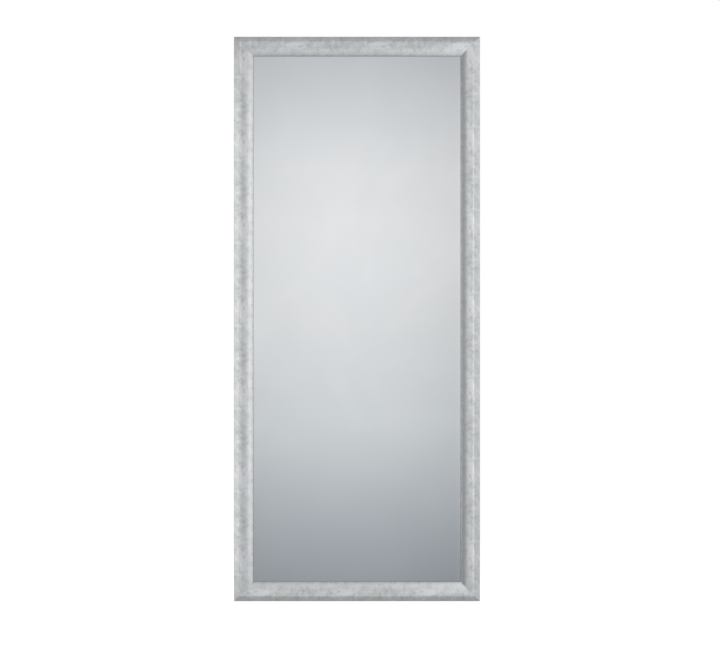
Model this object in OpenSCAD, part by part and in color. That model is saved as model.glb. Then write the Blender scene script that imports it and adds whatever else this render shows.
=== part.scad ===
// Full-length wall mirror in a mitred frame of foil-wrapped moulding.
// Millimetres. The mirror is drawn upright as it hangs, with its glass facing -Y and +X on the
// right as seen from the front. The origin is on the wall, midway between the two wall hooks.

/* [Glass] */
// Width of the mirror glass
glass_w = 600; // [400:10:900]
// Height of the mirror glass
glass_h = 1500; // [1200:10:2000]
// Thickness of the mirror glass
glass_t = 4; // [3:0.5:6]
// Ground bevel along the edges of the glass
glass_arris = 0.5; // [0.2:0.1:1]
// Play between the edge of the glass and the rebate
glass_play = 0.5; // [0.3:0.1:1.5]

/* [Moulding] */
// Width of the moulding, from its outer side to the sight edge
face_w = 54; // [50:1:80]
// How far the lip covers the glass
lip_cover = 6.5; // [5:0.5:9]
// Height of the lip's straight wall at the sight edge
lip_t = 1.4; // [1:0.1:4]
// Distance of the crest from the outer side
crest_at = 18; // [14:0.5:22]
// Slope of the outer bevel, in degrees
bevel_slope = 21; // [10:1:30]
// Slope of the inner face where it starts at the crest, in degrees
crest_slope = 3; // [0:1:8]
// Slope of the inner face where it reaches the sight edge, in degrees
sight_slope = 32; // [20:1:40]
// Radius that softens the outer edge
edge_r = 1.5; // [0.5:0.1:3]
// Radius that softens the crest
crest_r = 8; // [3:0.5:12]
// Radius that softens the sight edge
sight_r = 1.8; // [0.8:0.1:3]

/* [Foil] */
// Thickness of the silver foil
foil_t = 0.4; // [0.3:0.05:0.6]
// Width of foil that turns over onto the back of the moulding
foil_turn = 8; // [5:0.5:10]
// Width of foil that turns under the lip
foil_under = 5; // [3:0.5:5]

/* [Backing] */
// Thickness of the foam sheet between the glass and the back board
foam_t = 1; // [0.5:0.1:2]
// Thickness of the back board
board_t = 3; // [2:0.5:5]
// How much smaller than the glass the foam sheet and the back board are, on each side
board_inset = 0.5; // [0.3:0.1:2]
// How deep the back board lies below the back of the moulding
board_recess = 2; // [1.2:0.1:4]

/* [Fixing points] */
// Width of a steel fixing point
point_w = 8; // [5:0.5:12]
// Thickness of a fixing point
point_t = 0.6; // [0.4:0.1:1]
// Length of a fixing point that is driven into the moulding
point_grip = 6; // [4:0.5:9]
// Length of a fixing point that holds the board
point_reach = 10; // [6:0.5:14]
// Largest distance from one fixing point to the next
point_spacing = 150; // [100:10:220]
// Distance of the last fixing point from the corner of the rebate
point_margin = 70; // [40:5:90]

/* [Corner nails] */
// Length of each wing of a V-shaped corner nail
nail_wing = 7; // [5:0.5:8]
// Height of a corner nail
nail_h = 10; // [7:0.5:12]
// Thickness of a corner nail's steel
nail_t = 0.7; // [0.5:0.1:1]
// Distance of the outer nail's tip from the frame's outer sides
nail_setback = 11; // [10:0.5:14]
// Distance from one nail to the next, measured along a rail
nail_spacing = 17; // [14:0.5:18]
// How deep a nail is sunk below the back of the moulding
nail_sink = 0.5; // [0.2:0.1:1.5]

/* [Hangers] */
// Distance of the wall hooks below the top of the frame
hook_drop = 250; // [150:10:350]
// The same distance for hanging the frame on its side
side_hook_drop = 150; // [120:10:220]
// Width of a hanger's strap
strap_w = 14; // [11:0.5:15]
// Length of a strap, from the ring's bar to its round end
strap_len = 50; // [46:1:58]
// Thickness of the steel sheet that is folded into a strap
strap_t = 1.1; // [0.8:0.1:1.2]
// Diameter of the ring's wire
wire_d = 3; // [2.4:0.1:3.2]
// Play between the wire and the strap's loop
wire_play = 0.1; // [0.05:0.05:0.2]
// Width of the ring, between the centres of its arms
ring_w = 24; // [23:0.5:26]
// Length of the ring's straight arms
ring_arm = 1; // [0.5:0.5:3]
// Bend radius of the ring's two corners
ring_bend = 4; // [3.5:0.1:4.2]
// Angle at which a ring lies against its strap, in degrees
ring_rest = 5.5; // [5:0.5:8]

/* [Hanger screws] */
// Diameter of a screw's shank
screw_d = 3.5; // [3:0.1:4]
// Length of a screw under its head
screw_len = 15; // [12:0.5:16]
// Diameter of a screw's pan head
head_d = 7; // [6:0.1:8]
// Height of a pan head
head_h = 2.2; // [1.8:0.1:2.8]
// Distance of the first screw from the ring's bar
screw_first = 25; // [24:0.5:28]
// Distance between the two screws
screw_pitch = 17; // [12:0.5:18]
// Play between a screw and its hole in the strap
screw_play = 0.3; // [0.2:0.1:0.5]

/* [Wall bumpers] */
// Diameter of a soft wall bumper
bumper_d = 18; // [12:0.5:24]
// Height of a bumper, which keeps the rings and screws off the wall
bumper_h = 7; // [7:0.5:12]
// Chamfer around a bumper's wall end
bumper_chamfer = 1; // [0.5:0.1:2]
// Distance of the bumpers from the top and the bottom of the frame
bumper_inset = 85; // [75:5:100]

/* [Hidden] */

$fn = 48;
overrun = 1; // how far a cut runs past the face that it opens
fine_steps = 4; // flats on a small rounding
face_steps = 16; // flats on the curved inner face

silver_foil = "#c3c6c8";
mdf_brown = "#a98d6b";
mirror_silver = "#d3d7da";
foam_white = "#e8e8e4";
board_brown = "#8a6b4c";
dark_steel = "#5f6265";
zinc = "#b4b8bb";
bumper_grey = "#9a9c9e";

// The moulding's section is drawn in u, from the outer side towards the glass, and v, from the
// back of the core towards the front.
rebate_w = lip_cover + glass_play;
rebate_u = face_w - rebate_w;
board_front = board_recess + board_t;
foam_front = board_front + foam_t;
rebate_d = foam_front + glass_t;

bevel_turn = 90 - bevel_slope;
crest_turn = bevel_slope + crest_slope;
edge_cut = edge_r * tan(bevel_turn / 2);
crest_cut = crest_r * tan(crest_turn / 2);

// The inner face is an arc that leaves the crest at crest_slope and meets the sight edge's
// rounding at sight_slope. Its radius follows from the width that is left for it.
face_start_u = crest_at + crest_cut * cos(crest_slope);
face_end_u = face_w - sight_r * (1 - sin(sight_slope));
face_r = (face_end_u - face_start_u) / (sin(sight_slope) - sin(crest_slope));
face_fall = face_r * (cos(crest_slope) - cos(sight_slope));
lip_top = rebate_d + lip_t + sight_r * cos(sight_slope);
crest_v = lip_top + face_fall + crest_cut * sin(crest_slope);
side_v = crest_v - crest_at * tan(bevel_slope);

frame_w = glass_w + 2 * (face_w - lip_cover);
frame_h = glass_h + 2 * (face_w - lip_cover);
frame_mid_z = hook_drop - frame_h / 2;

function heading(a) = [cos(a), sin(a)];
function unit(v) = v / norm(v);

// Points of a right-hand rounding that starts at p in direction a0 and ends in direction a1.
// The start point itself is left out.
function rounding(p, r, a0, a1, steps) =
    let (centre = p + r * heading(a0 - 90))
    [for (i = [1:steps]) centre + r * heading(a0 + (a1 - a0) * i / steps + 90)];

// A path moved by d to its right-hand side, with sharp corners kept sharp.
function inset(path, d) = [
    for (i = [0:len(path) - 1])
    let (
        before = unit(i > 0 ? path[i] - path[i - 1] : path[1] - path[0]),
        after = i < len(path) - 1 ? unit(path[i + 1] - path[i]) : before,
        across = [before.y + after.y, -before.x - after.x]
    )
    path[i] + across * 2 * d / (across * across)
];

function reversed(path) = [for (i = [len(path) - 1:-1:0]) path[i]];

edge_start = [0, side_v - edge_cut];
crest_start = [crest_at, crest_v] - crest_cut * heading(bevel_slope);
crest_points = rounding(crest_start, crest_r, bevel_slope, -crest_slope, fine_steps);
face_points = rounding(
    crest_points[fine_steps - 1], face_r, -crest_slope, -sight_slope, face_steps
);

// The finished surface, from the foil's edge on the back, round the front, to its edge under
// the lip.
surface_path = concat(
    [[foil_turn, -foil_t], [0, -foil_t], edge_start],
    rounding(edge_start, edge_r, 90, bevel_slope, fine_steps),
    [crest_start],
    crest_points,
    face_points,
    rounding(face_points[face_steps - 1], sight_r, -sight_slope, -90, fine_steps),
    [[face_w, rebate_d], [face_w - foil_under, rebate_d]]
);
core_path = inset(surface_path, foil_t);

core_section = concat(core_path, [[rebate_u, rebate_d + foil_t], [rebate_u, 0]]);
foil_section = concat(surface_path, reversed(core_path));

// Each member of the frame is drawn as the top rail and turned into its place.
TOP = [0, frame_w, frame_h / 2];
RIGHT = [90, frame_h, frame_w / 2];
BOTTOM = [180, frame_w, frame_h / 2];
LEFT = [270, frame_h, frame_w / 2];

// Bare width on the back of the moulding, which carries the hangers and the bumpers.
bare_mid = (foil_turn + rebate_u) / 2;

function point_count(length) =
    let (run = length - 2 * (face_w + point_margin))
    1 + ceil(run / point_spacing);

function point_places(length) =
    let (
        run = length - 2 * (face_w + point_margin),
        gaps = point_count(length) - 1
    )
    [for (i = [0:gaps]) -run / 2 + run * i / gaps];

// The hanger's own frame: X along the ring's bar, Y away from the moulding, and the strap
// running down from the bar.
loop_bore = wire_d / 2 + wire_play;
loop_r = loop_bore + strap_t;
strap_fold_gap = 0.2; // between the two layers of the folded strap
strap_stack = 2 * strap_t + strap_fold_gap;
shoulder_slope = 45; // of the upper layer where it comes down from the loop, in degrees
shoulder_sink = 0.1; // how far the shoulder's start lies inside the loop's outer side
ring_r = ring_w / 2;
bar_half = ring_r - ring_bend;
ring_crown = ring_bend + ring_arm + ring_r;
hook_reach = ring_crown - wire_d / 2; // from the bar to the seat of a hook in the ring
cross_w = 1; // the screw's cross recess
cross_len = 4.4;
cross_depth = 1.3;
head_rim = 0.7; // straight part of a pan head
tip_len = 4;
tip_d = 0.8;

// Place, turn and member of each hanger. Left and right carry the upright mirror, and top and
// bottom carry it on its side.
HANG_LEFT = [[-frame_w / 2 + bare_mid, -hook_reach], 0, LEFT];
HANG_RIGHT = [[frame_w / 2 - bare_mid, -hook_reach], 0, RIGHT];
side_hang_x = -frame_w / 2 + side_hook_drop + hook_reach;
HANG_TOP = [[side_hang_x, frame_mid_z + frame_h / 2 - bare_mid], -90, TOP];
HANG_BOTTOM = [[side_hang_x, frame_mid_z - frame_h / 2 + bare_mid], -90, BOTTOM];

// Moves a shape from the middle of the core's back plane to its place off the wall.
module in_frame() {
    translate([0, -bumper_h, frame_mid_z]) children();
}

// Turns a member that is drawn as the top rail, with its outer side at Z = 0, into its place.
module on_side(side) {
    in_frame() rotate([0, side[0], 0]) translate([0, 0, side[2]]) children();
}

module along_rail(section, length) {
    rotate([0, 90, 180])
        linear_extrude(height = length, center = true)
            polygon(section);
}

// Plan of a rail between its two mitre planes.
module mitre_block(length) {
    inner = face_w + overrun;
    outer = -overrun;
    rotate([90, 0, 0])
        linear_extrude(height = 4 * crest_v, center = true)
            polygon([
                [-length / 2 + outer, -outer], [length / 2 - outer, -outer],
                [length / 2 - inner, -inner], [-length / 2 + inner, -inner]
            ]);
}

module mitred(section, length) {
    intersection() {
        along_rail(section, length + 2 * overrun);
        mitre_block(length);
    }
}

// A pointed steel tab that lies on the back board and is driven into the rebate's wall.
module fixing_point() {
    tip = point_w / 2;
    translate([0, -board_recess, -rebate_u])
        rotate([-90, 0, 0])
            linear_extrude(height = point_t)
                polygon([
                    [-point_w / 2, point_reach], [-point_w / 2, tip - point_grip],
                    [0, -point_grip], [point_w / 2, tip - point_grip],
                    [point_w / 2, point_reach]
                ]);
}

module point_row(side) {
    for (x = point_places(side[1])) translate([x, 0, 0]) fixing_point();
}

module fixing_points(side) {
    color(dark_steel) on_side(side) point_row(side);
}

// V-shaped nails that draw the corner together, drawn for the corner at the origin with the
// frame towards -X and -Z, and the tip of each V towards the corner. They run from a depth below
// the back of the moulding to another.
module nail_pair(from_depth, to_depth) {
    for (i = [0, 1]) {
        back = nail_setback + i * nail_spacing;
        translate([-back, -from_depth, -back])
            rotate([90, 0, 0])
                linear_extrude(height = to_depth - from_depth)
                    polygon([
                        [0, 0], [0, -nail_wing], [-nail_t, -nail_wing],
                        [-nail_t, -nail_t], [-nail_wing, -nail_t], [-nail_wing, 0]
                    ]);
    }
}

module at_corner(sx, sz) {
    in_frame()
        translate([sx * frame_w / 2, 0, sz * frame_h / 2])
            mirror([sx < 0 ? 1 : 0, 0, 0])
                mirror([0, 0, sz < 0 ? 1 : 0])
                    children();
}

module corner_nails(sx, sz) {
    color(dark_steel) at_corner(sx, sz) nail_pair(nail_sink, nail_sink + nail_h);
}

// The slots that the nails leave, open at the back.
module nail_slots() {
    for (sx = [-1, 1], sz = [-1, 1]) at_corner(sx, sz) nail_pair(-overrun, nail_sink + nail_h);
}

module at_hanger(hanger) {
    translate([hanger[0].x, -bumper_h, hanger[0].y]) rotate([0, hanger[1], 0]) children();
}

module screw_shank() {
    rotate([90, 0, 0]) {
        translate([0, 0, -strap_stack]) cylinder(d = screw_d, h = screw_len - tip_len);
        translate([0, 0, screw_len - tip_len - strap_stack])
            cylinder(d1 = screw_d, d2 = tip_d, h = tip_len);
    }
}

module screw_head() {
    dome = head_h - head_rim;
    difference() {
        translate([0, strap_stack, 0]) rotate([-90, 0, 0]) {
            cylinder(d = head_d, h = head_rim);
            translate([0, 0, head_rim]) cylinder(d1 = head_d, d2 = head_d - 2 * dome, h = dome);
        }
        for (a = [0, 90])
            rotate([0, a, 0])
                translate([-cross_len / 2, strap_stack + head_h - cross_depth, -cross_w / 2])
                    cube([cross_len, cross_depth + overrun, cross_w]);
    }
}

module at_screws() {
    for (i = [0, 1]) translate([0, 0, -screw_first - i * screw_pitch]) children();
}

module hanger_screws(hanger) {
    color(zinc) at_hanger(hanger) at_screws() {
        screw_shank();
        screw_head();
    }
}

// Where the upper layer comes down from the loop to lie on the lower one, seen from the side
// with the strap along +X.
strap_shoulder = [0, loop_r] + (loop_r - shoulder_sink) * heading(90 - shoulder_slope);
strap_foot = strap_shoulder.x + (strap_shoulder.y - strap_stack) / tan(shoulder_slope);

// Turns a side view with the strap along +X into a solid across the width of the strap.
module across_strap() {
    rotate([0, 90, 0]) linear_extrude(height = strap_w, center = true) children();
}

module loop_rod(r, length) {
    translate([0, loop_r, 0]) rotate([0, 90, 0]) cylinder(r = r, h = length, center = true);
}

module strap_plan() {
    straight = strap_len - strap_w / 2;
    translate([-strap_w / 2, -straight]) square([strap_w, straight + loop_r + overrun]);
    translate([0, -straight]) circle(d = strap_w);
}

module strap_blank() {
    loop_rod(loop_r, strap_w);
    across_strap()
        polygon([
            [0, 0], [0, loop_r / 2], strap_shoulder, [strap_foot, strap_stack],
            [strap_len, strap_stack], [strap_len, 0]
        ]);
}

module hanger_strap(hanger) {
    color(zinc) at_hanger(hanger) difference() {
        intersection() {
            strap_blank();
            rotate([90, 0, 0])
                linear_extrude(height = 6 * loop_r, center = true) strap_plan();
        }
        loop_rod(loop_bore, strap_w + 2 * overrun);
        across_strap() translate([strap_foot, strap_t]) square([strap_len, strap_fold_gap]);
        at_screws()
            rotate([90, 0, 0])
                cylinder(d = screw_d + 2 * screw_play, h = 4 * loop_r, center = true);
    }
}

module wire_bend(r, angle) {
    rotate_extrude(angle = angle) translate([r, 0]) circle(d = wire_d);
}

// The ring lies in the X and Z plane, with its bar on the X axis and its crown towards -Z.
module ring_wire() {
    rotate([0, 90, 0]) cylinder(d = wire_d, h = 2 * bar_half, center = true);
    rotate([90, 0, 0]) {
        translate([bar_half, -ring_bend, 0]) wire_bend(ring_bend, 90);
        translate([-bar_half, -ring_bend, 0]) rotate([0, 0, 90]) wire_bend(ring_bend, 90);
        translate([0, -ring_bend - ring_arm, 0]) rotate([0, 0, 180]) wire_bend(ring_r, 180);
    }
    for (side = [-1, 1])
        translate([side * ring_r, 0, -ring_bend - ring_arm]) cylinder(d = wire_d, h = ring_arm);
}

module hanger_ring(hanger) {
    color(zinc)
        at_hanger(hanger)
            translate([0, loop_r, 0])
                rotate([ring_rest, 0, 0])
                    ring_wire();
}

module hanger_shanks() {
    for (hanger = [HANG_LEFT, HANG_RIGHT, HANG_TOP, HANG_BOTTOM])
        at_hanger(hanger) at_screws() screw_shank();
}

module rail_core(side) {
    color(mdf_brown) difference() {
        on_side(side) mitred(core_section, side[1]);
        on_side(side) point_row(side);
        nail_slots();
        hanger_shanks();
    }
}

module rail_foil(side) {
    color(silver_foil) on_side(side) mitred(foil_section, side[1]);
}

// A sheet in the rebate, from depth v towards the front.
module sheet(w, h, v, t) {
    in_frame() translate([-w / 2, -v - t, -h / 2]) cube([w, t, h]);
}

// Float glass with its silvered back. The arris is ground on all its edges.
module mirror_glass() {
    a = glass_arris;
    t = glass_t;
    color(mirror_silver) in_frame() translate([0, -foam_front, 0]) rotate([90, 0, 0])
        intersection() {
            rotate([90, 0, 0])
                linear_extrude(height = glass_h, center = true)
                    arris_section(glass_w / 2, t, a);
            rotate([90, 0, 90])
                linear_extrude(height = glass_w, center = true)
                    arris_section(glass_h / 2, t, a);
        }
}

module arris_section(half, t, a) {
    polygon([
        [-half + a, 0], [-half, a], [-half, t - a], [-half + a, t],
        [half - a, t], [half, t - a], [half, a], [half - a, 0]
    ]);
}

module foam_sheet() {
    color(foam_white)
        sheet(glass_w - 2 * board_inset, glass_h - 2 * board_inset, board_front, foam_t);
}

module back_board() {
    color(board_brown)
        sheet(glass_w - 2 * board_inset, glass_h - 2 * board_inset, board_recess, board_t);
}

module bumper(sx, sz) {
    color(bumper_grey) in_frame()
        translate([
            sx * (frame_w / 2 - bare_mid), 0, sz * (frame_h / 2 - bumper_inset)
        ])
            rotate([-90, 0, 0]) {
                cylinder(d = bumper_d, h = bumper_h - bumper_chamfer);
                translate([0, 0, bumper_h - bumper_chamfer])
                    cylinder(
                        d1 = bumper_d, d2 = bumper_d - 2 * bumper_chamfer,
                        h = bumper_chamfer
                    );
            }
}

rail_core(TOP);  // top_rail_core
rail_core(BOTTOM);  // bottom_rail_core
rail_core(LEFT);  // left_stile_core
rail_core(RIGHT);  // right_stile_core
rail_foil(TOP);  // top_rail_foil
rail_foil(BOTTOM);  // bottom_rail_foil
rail_foil(LEFT);  // left_stile_foil
rail_foil(RIGHT);  // right_stile_foil
corner_nails(-1, 1);  // corner_nails_top_left
corner_nails(1, 1);  // corner_nails_top_right
corner_nails(-1, -1);  // corner_nails_bottom_left
corner_nails(1, -1);  // corner_nails_bottom_right
mirror_glass();
foam_sheet();
back_board();
fixing_points(TOP);  // fixing_points_top
fixing_points(BOTTOM);  // fixing_points_bottom
fixing_points(LEFT);  // fixing_points_left
fixing_points(RIGHT);  // fixing_points_right
hanger_strap(HANG_LEFT);  // hanger_strap_left
hanger_strap(HANG_RIGHT);  // hanger_strap_right
hanger_strap(HANG_TOP);  // hanger_strap_top
hanger_strap(HANG_BOTTOM);  // hanger_strap_bottom
hanger_ring(HANG_LEFT);  // hanger_ring_left
hanger_ring(HANG_RIGHT);  // hanger_ring_right
hanger_ring(HANG_TOP);  // hanger_ring_top
hanger_ring(HANG_BOTTOM);  // hanger_ring_bottom
hanger_screws(HANG_LEFT);  // hanger_screws_left
hanger_screws(HANG_RIGHT);  // hanger_screws_right
hanger_screws(HANG_TOP);  // hanger_screws_top
hanger_screws(HANG_BOTTOM);  // hanger_screws_bottom
bumper(-1, 1);  // bumper_top_left
bumper(1, 1);  // bumper_top_right
bumper(-1, -1);  // bumper_bottom_left
bumper(1, -1);  // bumper_bottom_right
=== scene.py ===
import math

import bmesh
import bpy
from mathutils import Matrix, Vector


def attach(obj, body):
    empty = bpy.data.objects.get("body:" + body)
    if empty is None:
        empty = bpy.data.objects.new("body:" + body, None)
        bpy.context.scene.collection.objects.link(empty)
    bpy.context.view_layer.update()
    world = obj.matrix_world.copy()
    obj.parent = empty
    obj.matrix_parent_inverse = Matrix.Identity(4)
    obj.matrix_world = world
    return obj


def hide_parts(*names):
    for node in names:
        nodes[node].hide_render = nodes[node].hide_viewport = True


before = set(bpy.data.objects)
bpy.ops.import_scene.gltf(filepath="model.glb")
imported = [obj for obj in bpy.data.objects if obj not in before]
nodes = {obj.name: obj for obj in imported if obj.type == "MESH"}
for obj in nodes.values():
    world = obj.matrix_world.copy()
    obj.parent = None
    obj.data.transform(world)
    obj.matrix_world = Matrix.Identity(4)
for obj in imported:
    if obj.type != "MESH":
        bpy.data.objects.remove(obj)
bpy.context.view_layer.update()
scene = bpy.context.scene
print("packed model loaded")

mm = 0.001

# The whole frame, in mm. It hangs wallGap off the wall, and midHeight is its middle.
wholeFrame = {"width": 695, "height": 1595, "wallGap": 7, "midHeight": -547.5}

# The photograph's camera, in mm: square on, a little right of the middle and a little below it.
# Its distance is from the moulding's outer edge, and seenWidth is what it sees there.
shot = {
    "distance": 3400, "outerEdge": -23.65, "right": 8.5, "below": 14.1, "seenWidth": 2033.7,
    "sensor": 36, "clipEnd": 60000,
}


def makeCamera():
    lens = bpy.data.cameras.new("camera")
    lens.sensor_width = shot["sensor"]
    lens.lens = shot["sensor"] * shot["distance"] / shot["seenWidth"]
    lens.clip_end = shot["clipEnd"] * mm
    camera = bpy.data.objects.new("camera", lens)
    camera.location = Vector((
        shot["right"], shot["outerEdge"] - shot["distance"],
        wholeFrame["midHeight"] - shot["below"]
    )) * mm
    camera.rotation_euler = (math.radians(90), 0, 0)
    scene.collection.objects.link(camera)
    scene.camera = camera


makeCamera()

# Settings that many nodes share.
softly = {"interpolation_type": "SMOOTHSTEP"}
inColour = {"data_type": "RGBA"}


def linear(hexColour):
    shares = [int(hexColour[i:i + 2], 16) / 255 for i in (1, 3, 5)]
    return [s / 12.92 if s < 0.04045 else ((s + 0.055) / 1.055) ** 2.4 for s in shares] + [1]


def fill(node, inputs):
    # fills a node's inputs, by name or else the live ones in order. A hex colour is made linear,
    # a socket is linked, and a node is linked by its first live output
    live = [socket for socket in node.inputs if socket.enabled]
    for key, value in inputs.items() if isinstance(inputs, dict) else enumerate(inputs):
        socket = node.inputs[key] if isinstance(key, str) else live[key]
        if isinstance(value, bpy.types.Node):
            value = next(out for out in value.outputs if out.enabled)
        if isinstance(value, bpy.types.NodeSocket):
            node.id_data.links.new(value, socket)
        elif isinstance(value, str) and value.startswith("#"):
            socket.default_value = linear(value)
        else:
            socket.default_value = value


def add(tree, kind, inputs=(), **settings):
    # adds a node with its settings, values and links
    node = tree.nodes.new(kind)
    for name, value in settings.items():
        setattr(node, name, value)
    fill(node, inputs)
    return node


def newMaterial(name, surface):
    material = bpy.data.materials.new(name)
    material.use_nodes = True
    shader = material.node_tree.nodes["Principled BSDF"]
    fill(shader, surface)
    return material, material.node_tree, shader


def lay(tree, pattern, levels, under, over, shares=(0, 1)):
    # lays a colour over another, from its first share to its second as the pattern goes from the
    # first level to the second
    amount = add(tree, "ShaderNodeMapRange", [pattern, *levels, *shares], **softly)
    return add(tree, "ShaderNodeMix", [amount, under, over], **inColour)


def clouds(tree, place, under, over, size, levels, share=1, **noise):
    # lays a colour over another in soft clouds, whose lumps are size apart, in mm, and gives
    # their pattern too
    pattern = add(tree, "ShaderNodeTexNoise", {
        "Vector": place, "Scale": 1 / (size * mm), **noise
    })
    return pattern, lay(tree, pattern, levels, under, over, (0, share))


def inwards(tree, place, edge=0):
    # how far the place is inside the frame's sides and its ends, less an edge in mm
    x, _, z = add(tree, "ShaderNodeSeparateXYZ", [place]).outputs
    distances = []
    for way, size, middle in ((x, "width", 0), (z, "height", wholeFrame["midHeight"])):
        off = add(tree, "ShaderNodeMath", [way, middle * mm], operation="SUBTRACT")
        off = add(tree, "ShaderNodeMath", [off], operation="ABSOLUTE")
        reach = (wholeFrame[size] / 2 - edge) * mm
        distances.append(add(tree, "ShaderNodeMath", [reach, off], operation="SUBTRACT"))
    return distances


# The moulding, in mm and degrees, with its solids' own sizes, but for the foil's softer crest.
moulding = {
    "face": 54, "lip": 1.4, "crestAt": 18, "rebateDepth": 10,
    "bevelSlope": 21, "crestSlope": 3, "sightSlope": 32,
    "edgeRadius": 1.5, "crestRadius": 8, "sightRadius": 1.8,
    "softCrest": 19,  # radius of the foil over the crest, which the core's own edge stays under
    "foil": 0.4, "foilTurn": 8, "foilUnder": 5,
    "edgeSteps": 8, "crestSteps": 12, "faceSteps": 30,
    "step": 25,  # length of one stretch of the sweep
}


def heading(angle):
    return Vector((math.cos(math.radians(angle)), math.sin(math.radians(angle))))


def rounding(start, radius, fromAngle, toAngle, steps):
    # a right-hand arc from start, which itself is left out
    centre = start + radius * heading(fromAngle - 90)
    turn = (toAngle - fromAngle) / steps
    return [centre + radius * heading(fromAngle + turn * i + 90) for i in range(1, steps + 1)]


def softCrest(crestStart, crestEnd, faceRadius):
    # where an arc that touches both the bevel and the round inner face leaves the bevel, and the
    # slope at which it meets the face
    m = moulding
    along = heading(m["bevelSlope"])
    up = heading(m["bevelSlope"] + 90)
    faceCentre = crestEnd - faceRadius * heading(90 - m["crestSlope"])
    away = crestStart - m["softCrest"] * up - faceCentre
    reach = away.dot(along)
    swing = math.sqrt(reach ** 2 - away.length_squared + (faceRadius - m["softCrest"]) ** 2)
    slide = min(-reach - swing, -reach + swing, key=abs)
    out = away + slide * along
    return crestStart + slide * along, math.degrees(math.atan2(out.x, out.y))


def mouldingSurface():
    # the foil's outer outline: x runs from the frame's outer side to the glass, y from the back
    # of the moulding to the front
    m = moulding
    bevel, crest, sight = (m[k] for k in ("bevelSlope", "crestSlope", "sightSlope"))
    crestCut = m["crestRadius"] * math.tan(math.radians((bevel + crest) / 2))
    edgeCut = m["edgeRadius"] * math.tan(math.radians((90 - bevel) / 2))
    faceStart = m["crestAt"] + crestCut * heading(crest).x
    faceEnd = m["face"] - m["sightRadius"] * (1 - heading(sight).y)
    faceRadius = (faceEnd - faceStart) / (heading(sight).y - heading(crest).y)
    lipTop = m["rebateDepth"] + m["lip"] + m["sightRadius"] * heading(sight).x
    faceFall = faceRadius * (heading(crest).x - heading(sight).x)
    crestHeight = lipTop + faceFall + crestCut * heading(crest).y
    sideHeight = crestHeight - m["crestAt"] * math.tan(math.radians(bevel))
    edgeStart = Vector((0, sideHeight - edgeCut))
    crestStart = Vector((m["crestAt"], crestHeight)) - crestCut * heading(bevel)
    crestEnd = rounding(crestStart, m["crestRadius"], bevel, -crest, 1)[0]
    softStart, softEnd = softCrest(crestStart, crestEnd, faceRadius)
    points = [Vector((m["foilTurn"], -m["foil"])), Vector((0, -m["foil"])), edgeStart]
    points += rounding(edgeStart, m["edgeRadius"], 90, bevel, m["edgeSteps"])
    points.append(softStart)
    points += rounding(softStart, m["softCrest"], bevel, -softEnd, m["crestSteps"])
    points += rounding(points[-1], faceRadius, -softEnd, -sight, m["faceSteps"])
    points += rounding(points[-1], m["sightRadius"], -sight, -90, m["edgeSteps"])
    under = m["rebateDepth"]
    return points + [Vector((m["face"], under)), Vector((m["face"] - m["foilUnder"], under))]


def inset(path, depth):
    # the path moved to its right-hand side, with its corners kept
    moved = []
    for i, point in enumerate(path):
        before = (point - path[i - 1] if i else path[1] - path[0]).normalized()
        after = (path[i + 1] - point).normalized() if i + 1 < len(path) else before
        side = Vector((before.y + after.y, -before.x - after.x))
        moved.append(point + side * 2 * depth / side.length_squared)
    return moved


def acrossLengths(path):
    # how far each point of the path is along it
    lengths = [0.0]
    for a, b in zip(path, path[1:]):
        lengths.append(lengths[-1] + (b - a).length)
    return lengths


def acrossAt(u):
    # distance across the foil, from its edge on the back, of the point that is u from the side
    surface = mouldingSurface()
    onBack = 2  # points of the outline, which are passed over
    return next(far for p, far in list(zip(surface, acrossLengths(surface)))[onBack:] if p.x >= u)


# The foil's print, in mm: it comes round again with each turn of the printing roller. Each turn
# has one smooth light patch, whose middle lies patchMiddle past the crest, and opposite it a
# darker smudge, full of small curled marks. Levels are where a soft step starts and ends.
foilPrint = {
    "repeat": 234, "blotch": 11, "grain": 3.2, "drift": 24, "tone": 120, "curl": 5,
    "askewAxis": (1, 0.7, 0.4), "askewTurn": 52,
    "patchMiddle": 10, "patchCore": 5, "patchReach": 19, "patchLevels": (1.95, 2.45),
    "patchShare": 0.8,
    "smudgeMiddle": 7, "smudgeCore": 3, "smudgeReach": 14, "smudgeLevels": (0.5, 1.6),
    "smudgeDepth": 0.55, "curlLevels": (0.42, 0.58), "curlShare": 0.2,
    "calmFrom": 8, "calmAfter": 20, "calm": 0.3,
    "darkLevels": (0.38, 0.51), "lightLevels": (0.5, 0.63),
    "toneLevels": (0.4, 0.6), "greenFrom": -4, "greenTo": 12, "greenShare": 0.25,
    "crestSmear": 2.5, "smearLevels": (0.42, 0.5), "smearShare": 0.25,
    "cutFrom": 0.1, "cutTo": 0.6, "cutShare": 0.45,
    "dark": "#cccecf", "middle": "#e2e3e4", "light": "#f2f3f4", "smooth": "#f2f3f6",
    "shaded": "#c2c5c6", "greener": "#f9fcfa", "cutEdge": "#9c9e9e",
    "roughLevels": (0.35, 0.65), "roughness": (0.38, 0.31),
    "blotchDepth": 0.03, "grainDepth": 0.02,
}


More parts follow.
